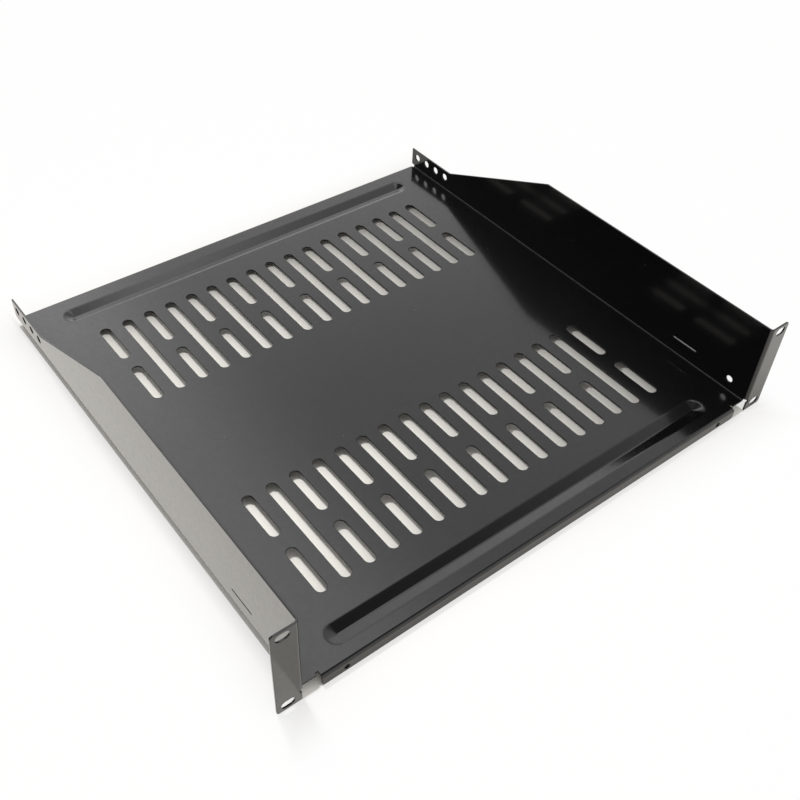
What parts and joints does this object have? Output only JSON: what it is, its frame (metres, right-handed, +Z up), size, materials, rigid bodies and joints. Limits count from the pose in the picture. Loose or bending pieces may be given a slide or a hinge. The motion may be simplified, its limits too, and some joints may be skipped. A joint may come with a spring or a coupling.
{
  "type": "cantilever rack shelf",
  "caption": "Vented cantilever shelf for a server rack, folded from one steel sheet: a flat deck between sloped side walls, held at the front by two slotted ears.",
  "frame": {"origin": "middle of the base: midway between the ears' outer edges, midway between the front face of the ears and the rear face of the rear lip, at the height of the ears' and lips' lower edges", "axes": "+X to the right as seen from in front of the rack, along the longest extent; +Y to the rear, into the rack; +Z up, along the shortest extent"},
  "size_m": [0.4826, 0.45, 0.0881],
  "materials": {
    "black_powder_coat": "semi-gloss"
  },
  "bodies": {
    "root": {"shelf_tray": "black_powder_coat"}
  },
  "joints": []
}
